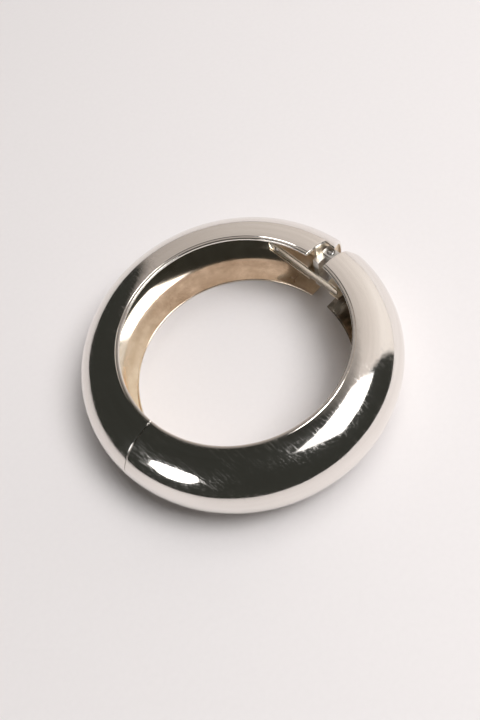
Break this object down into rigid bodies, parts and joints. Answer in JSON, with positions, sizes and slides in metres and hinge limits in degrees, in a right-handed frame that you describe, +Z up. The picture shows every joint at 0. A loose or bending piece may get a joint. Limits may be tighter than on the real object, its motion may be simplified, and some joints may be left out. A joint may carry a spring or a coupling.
{
  "type": "bangle bracelet",
  "caption": "Hinged bangle bracelet: hollow, domed half rings in polished silver tone, joined by a pin hinge with a leaf spring that holds them shut",
  "frame": {"origin": "centre of the ring on the surface that the bangle lies on", "axes": "+Z up along the arm's direction; +X from the centre to the hinge; +Y to the half that stays still; the mouth is on -X"},
  "size_m": [0.0859, 0.086, 0.021],
  "materials": {
    "polished_silver_tone": "silver-tone plating, mirror polished outside",
    "silver_tone_fittings": "plated brass, satin",
    "spring_steel": "bright tempered spring steel",
    "pin_steel": "steel, ends upset by hammering"
  },
  "bodies": {
    "rear_half": {"rear_shell": "polished_silver_tone", "rear_hinge_plate": "silver_tone_fittings", "rear_mouth_plate": "silver_tone_fittings", "hinge_knuckle": "silver_tone_fittings", "spring_channel": "silver_tone_fittings", "spring_anchor": "silver_tone_fittings", "leaf_spring": "spring_steel", "spring_rivet_1": "pin_steel", "spring_rivet_2": "pin_steel"},
    "front_half": {"front_shell": "polished_silver_tone", "front_hinge_plate": "silver_tone_fittings", "front_mouth_plate": "silver_tone_fittings", "hinge_cheek_top": "silver_tone_fittings", "hinge_cheek_bottom": "silver_tone_fittings", "hinge_pin": "pin_steel", "spring_guide": "silver_tone_fittings"}
  },
  "joints": [
    {"name": "hinge", "type": "hinge", "parent": "rear_half", "child": "front_half", "pos_m": [0.03625, 0, 0.0105], "axis": [0, 0, 1], "range_deg": [0, 38], "stiffness_Nm_per_rad": 0.12, "springref_deg": -14.32, "deforming": ["leaf_spring"]}
  ]
}
